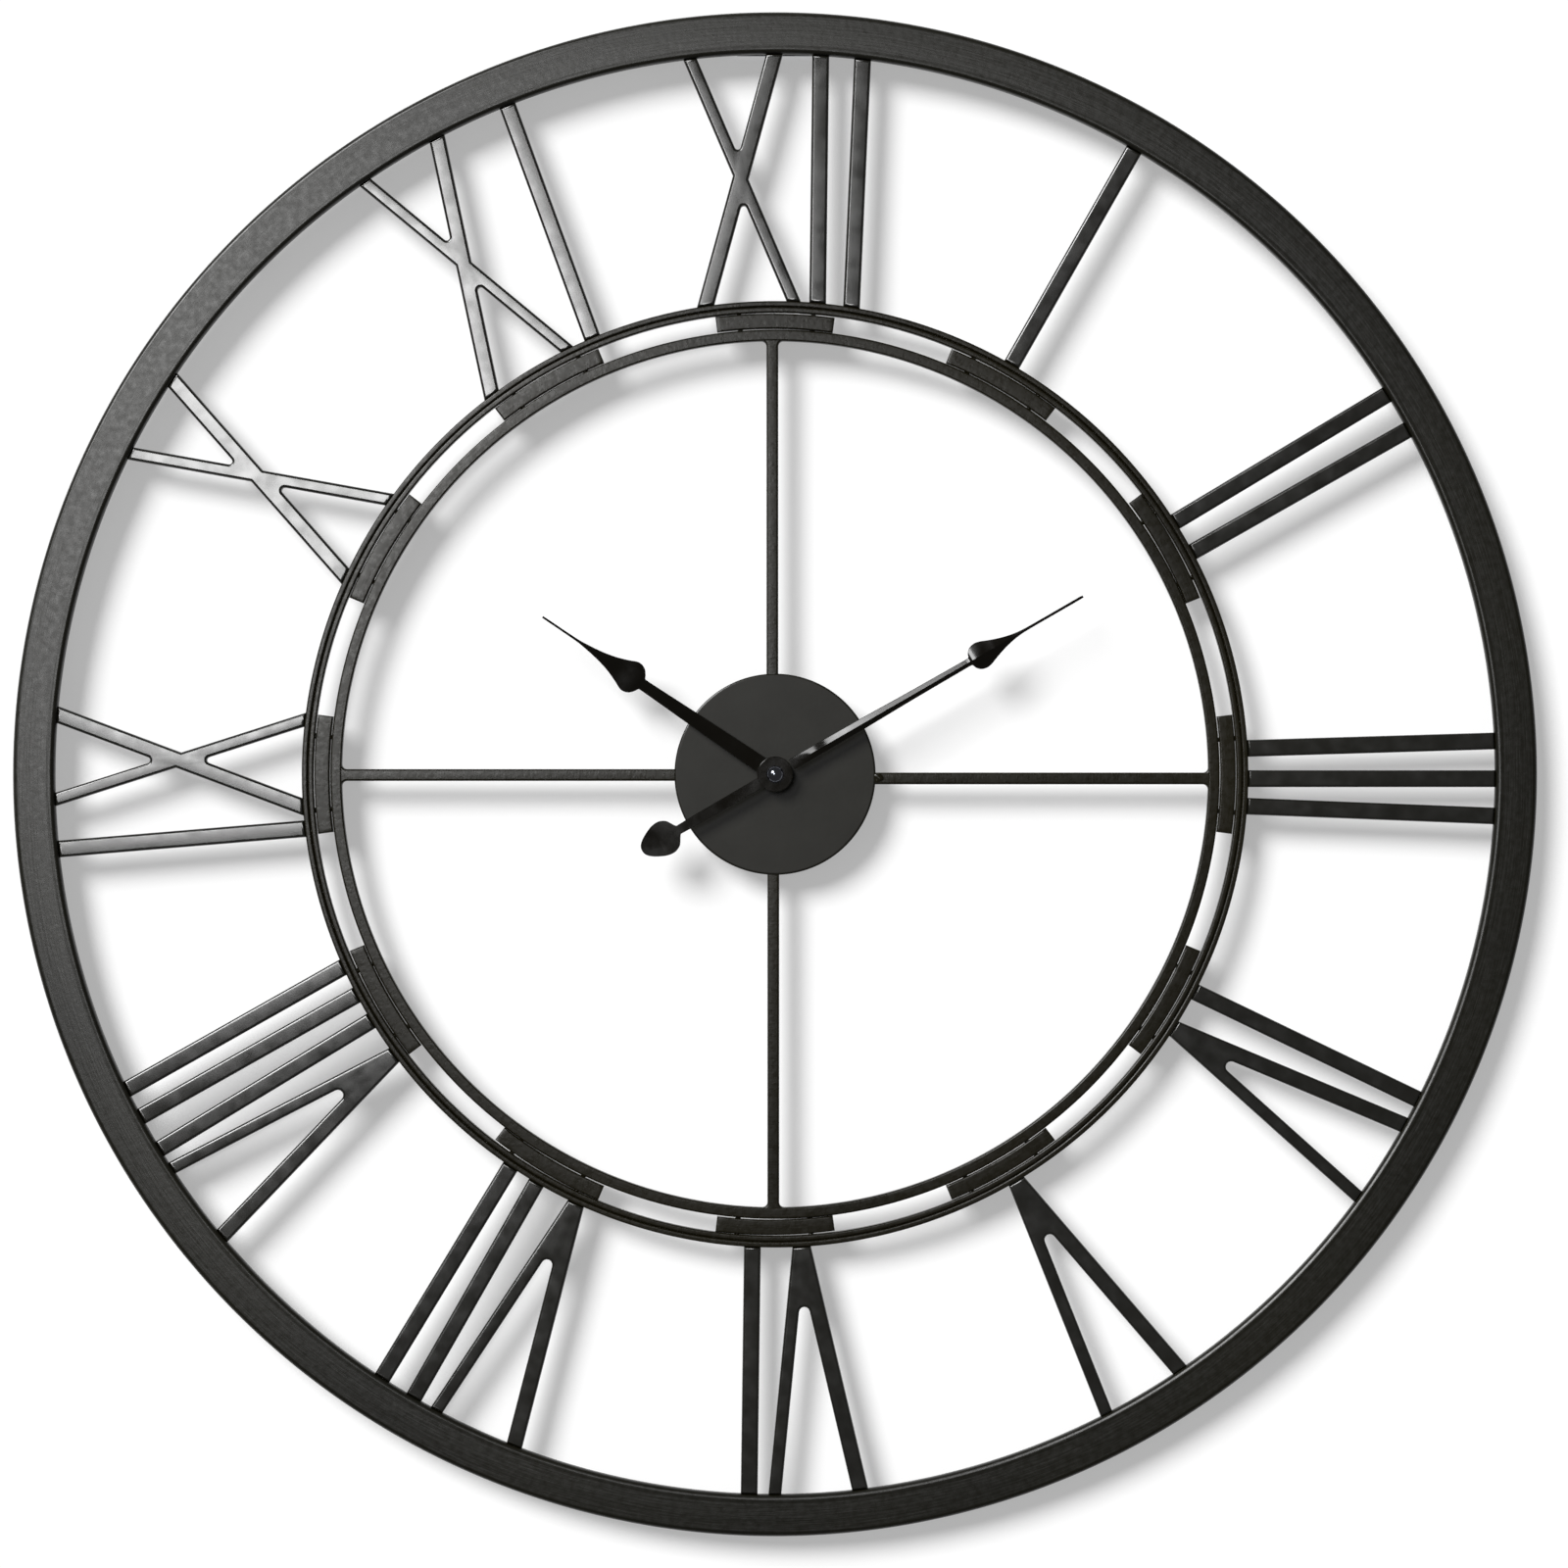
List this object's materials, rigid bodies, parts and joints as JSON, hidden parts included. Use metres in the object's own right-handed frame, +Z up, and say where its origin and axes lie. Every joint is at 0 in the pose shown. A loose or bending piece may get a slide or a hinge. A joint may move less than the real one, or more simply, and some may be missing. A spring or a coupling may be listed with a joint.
{
  "type": "skeleton wall clock",
  "caption": "Round open-frame metal wall clock with Roman numerals welded between a flat tube ring and chapter rings, central hub, two spade hands and a battery movement.",
  "frame": {"origin": "on the wall plane, straight behind the hand shaft", "axes": "+X to the right as seen by the viewer, +Z up towards twelve o clock, +Y into the wall, so the dial faces -Y"},
  "size_m": [0.8, 0.0343, 0.8],
  "materials": {
    "ring_coat": "black powder coat, fine orange peel",
    "frame_coat": "black powder coat, satin",
    "numeral_coat": "black powder coat, half gloss",
    "hub_coat": "black powder coat, satin",
    "rubber": "matte",
    "case_plastic": "moulded, matte",
    "plate_plastic": "moulded, matte",
    "gear_plastic": "moulded, smooth",
    "brass": "turned",
    "bright_steel": "plated sheet",
    "zinc": "zinc plated strip",
    "magnet": "sintered, dull",
    "copper": "enamelled copper wire",
    "battery_sleeve": "printed sleeve over steel, plain",
    "board": "coated circuit board",
    "hand_gloss": "black gloss enamel",
    "chrome_cap": "polished"
  },
  "bodies": {
    "frame": {"outer_ring": "ring_coat", "chapter_ring_outer": "frame_coat", "chapter_ring_middle": "frame_coat", "chapter_ring_inner": "frame_coat", "hour_block_01": "frame_coat", "hour_block_02": "frame_coat", "hour_block_03": "frame_coat", "hour_block_04": "frame_coat", "hour_block_05": "frame_coat", "hour_block_06": "frame_coat", "hour_block_07": "frame_coat", "hour_block_08": "frame_coat", "hour_block_09": "frame_coat", "hour_block_10": "frame_coat", "hour_block_11": "frame_coat", "hour_block_12": "frame_coat", "numeral_01": "numeral_coat", "numeral_02": "numeral_coat", "numeral_03": "numeral_coat", "numeral_04": "numeral_coat", "numeral_05": "numeral_coat", "numeral_06": "numeral_coat", "numeral_07": "numeral_coat", "numeral_08": "numeral_coat", "numeral_09": "numeral_coat", "numeral_10": "numeral_coat", "numeral_11": "numeral_coat", "numeral_12": "numeral_coat", "spoke_top": "frame_coat", "spoke_right": "frame_coat", "spoke_bottom": "frame_coat", "spoke_left": "frame_coat", "hub_disc": "hub_coat", "rubber_bumpers": "rubber", "hanger_bracket": "zinc", "movement_front_case": "case_plastic", "movement_rear_cover": "case_plastic", "middle_plate": "plate_plastic", "threaded_bush": "brass", "bush_nut": "brass", "rubber_gasket": "rubber", "battery": "battery_sleeve", "battery_contacts": "bright_steel", "stator": "bright_steel", "coil_bobbin": "plate_plastic", "coil_winding": "copper", "circuit_board": "board", "quartz_crystal": "bright_steel"},
    "minute_train": {"minute_hand": "hand_gloss", "hand_cap_nut": "chrome_cap", "minute_tube": "brass"},
    "hour_train": {"hour_hand": "hand_gloss", "hour_wheel": "gear_plastic"},
    "motion_wheel": {"minute_wheel": "gear_plastic"},
    "knob": {"setting_knob": "gear_plastic"},
    "third": {"third_wheel": "gear_plastic"},
    "seconds": {"seconds_wheel": "gear_plastic"},
    "intermediate": {"intermediate_wheel": "gear_plastic"},
    "step_rotor": {"rotor": "magnet"},
    "centre": {"centre_wheel": "brass"}
  },
  "joints": [
    {"name": "minute_hand_turn", "type": "hinge", "parent": "frame", "child": "minute_train", "pos_m": [0, 0, 0], "axis": [0, 1, 0], "continuous": true},
    {"name": "hour_hand_turn", "type": "hinge", "parent": "frame", "child": "hour_train", "pos_m": [0, 0, 0], "axis": [0, 1, 0], "continuous": true},
    {"name": "minute_wheel_turn", "type": "hinge", "parent": "frame", "child": "motion_wheel", "pos_m": [0.0036, 0, 0.00624], "axis": [0, 1, 0], "continuous": true},
    {"name": "setting_knob_turn", "type": "hinge", "parent": "frame", "child": "knob", "pos_m": [0.0072, 0, 0.01247], "axis": [0, 1, 0], "continuous": true},
    {"name": "seconds_wheel_turn", "type": "hinge", "parent": "frame", "child": "seconds", "pos_m": [0, 0, 0], "axis": [0, 1, 0], "continuous": true},
    {"name": "third_wheel_turn", "type": "hinge", "parent": "frame", "child": "third", "pos_m": [-0.00795, 0, 0.00459], "axis": [0, 1, 0], "continuous": true},
    {"name": "centre_wheel_turn", "type": "hinge", "parent": "frame", "child": "centre", "pos_m": [0, 0, 0], "axis": [0, 1, 0], "continuous": true},
    {"name": "intermediate_wheel_turn", "type": "hinge", "parent": "frame", "child": "intermediate", "pos_m": [0.0078, 0, -0.00137], "axis": [0, 1, 0], "continuous": true},
    {"name": "rotor_turn", "type": "hinge", "parent": "frame", "child": "step_rotor", "pos_m": [0.01569, 0, 0.0015], "axis": [0, 1, 0], "continuous": true}
  ],
  "couplings": [
    {"joint": "hour_hand_turn", "follows": "minute_hand_turn", "ratio": 0.083333},
    {"joint": "minute_wheel_turn", "follows": "minute_hand_turn", "ratio": -0.33333},
    {"joint": "setting_knob_turn", "follows": "minute_hand_turn", "ratio": 1},
    {"joint": "third_wheel_turn", "follows": "seconds_wheel_turn", "ratio": -0.13333},
    {"joint": "centre_wheel_turn", "follows": "seconds_wheel_turn", "ratio": 0.016667},
    {"joint": "intermediate_wheel_turn", "follows": "seconds_wheel_turn", "ratio": -5},
    {"joint": "rotor_turn", "follows": "seconds_wheel_turn", "ratio": 30}
  ]
}
